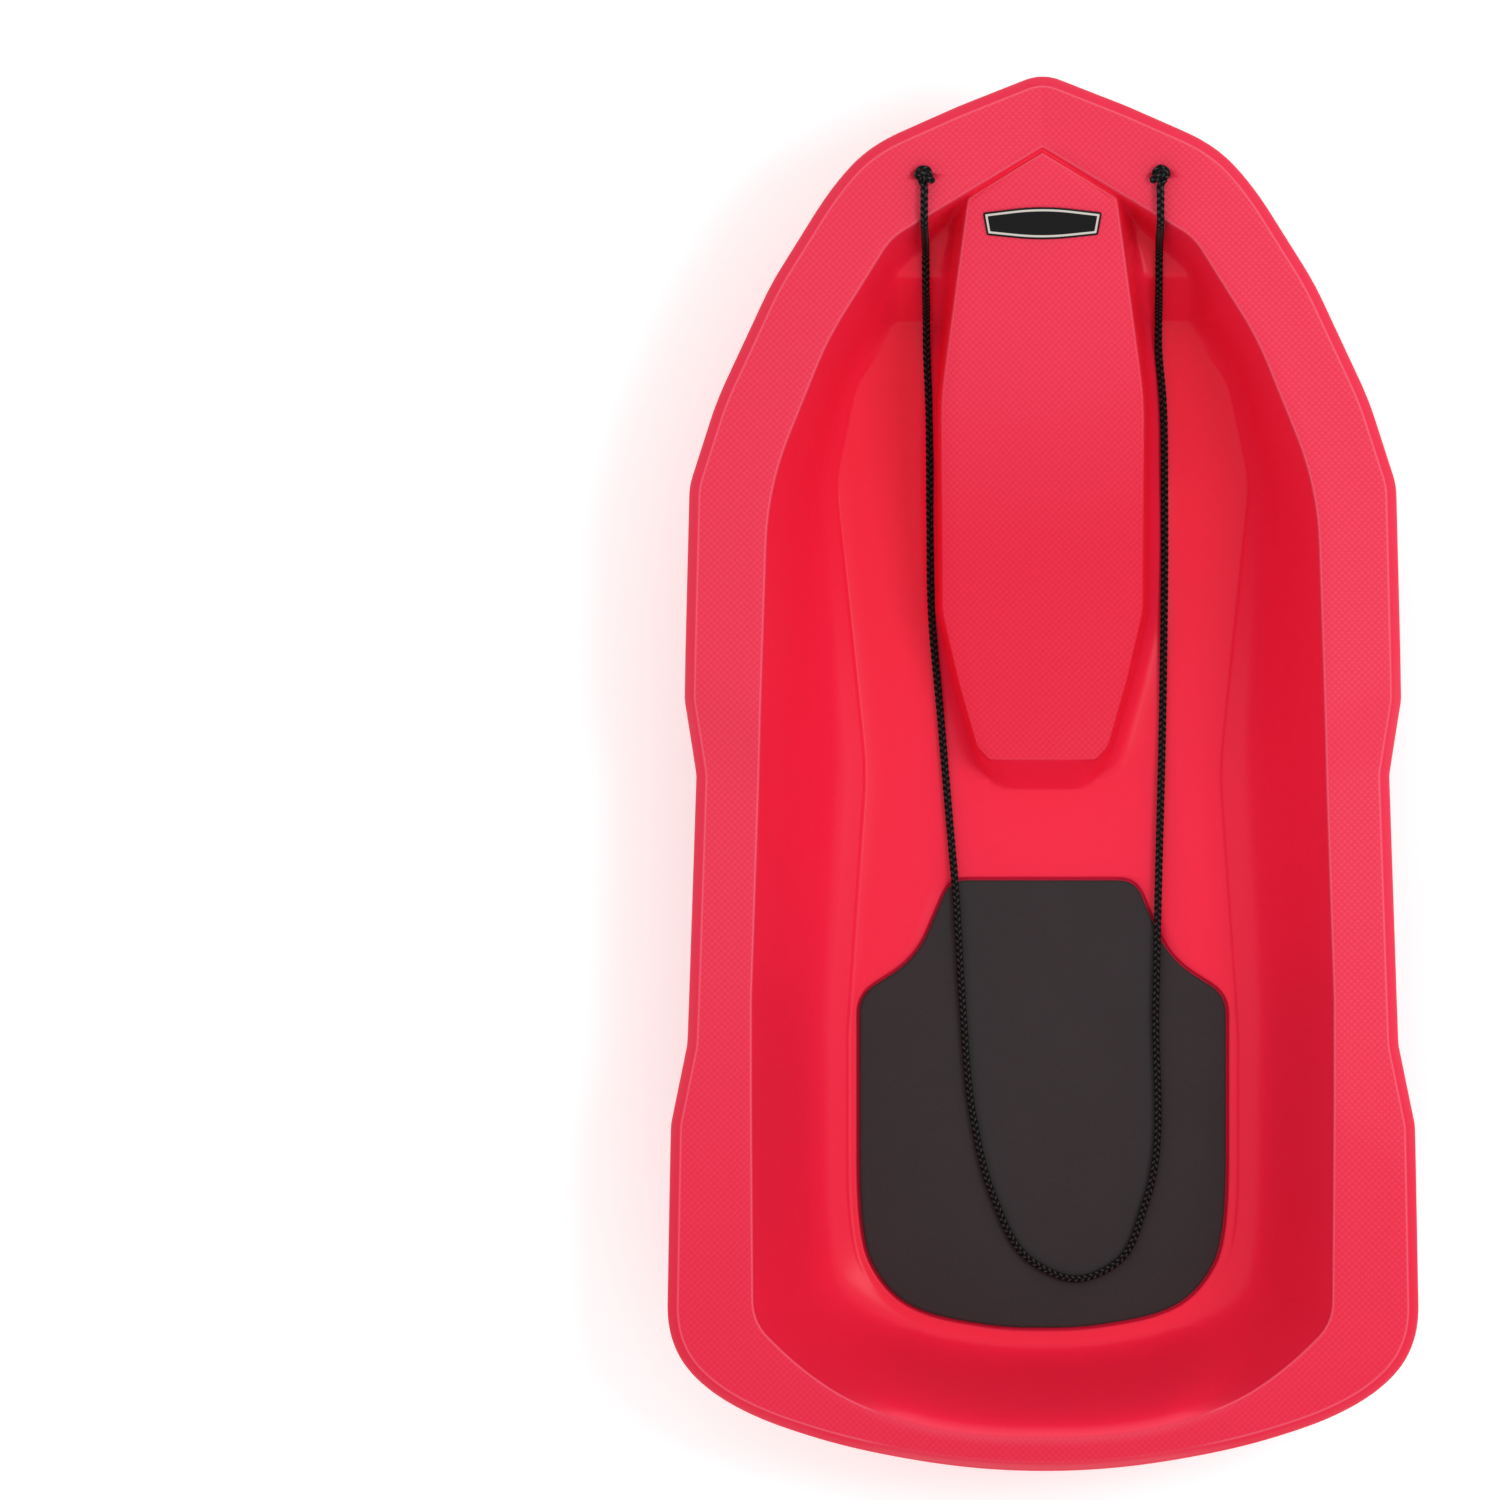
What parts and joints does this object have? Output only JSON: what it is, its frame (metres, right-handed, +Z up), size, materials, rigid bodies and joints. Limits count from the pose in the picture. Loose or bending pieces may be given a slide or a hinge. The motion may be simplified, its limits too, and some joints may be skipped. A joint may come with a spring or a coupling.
{
  "type": "toboggan",
  "caption": "Moulded snow toboggan: a thin red sheet with a wide rim, foot wells, a centre console and a foam seat pad, and a black tow rope laid in the cockpit.",
  "frame": {"origin": "middle of the underside, on the ground that the sled rests on, under the middle of the hull's outline", "axes": "+Y to the nose, +X to the right hand of the picture, +Z up out of the cockpit"},
  "size_m": [0.6556, 1.219, 0.2194],
  "materials": {
    "red_hdpe": "satin moulded plastic with a fine woven texture",
    "charcoal_foam": "matt closed-cell foam",
    "black_plate": "blank glossy black plate",
    "black_rope": "braided synthetic rope"
  },
  "bodies": {
    "root": {"hull": "red_hdpe", "seat_pad": "charcoal_foam", "name_plate": "black_plate", "tow_rope": "black_rope", "knot_upper_left": "black_rope", "knot_upper_right": "black_rope", "knot_under_left": "black_rope", "knot_under_right": "black_rope"}
  },
  "joints": []
}
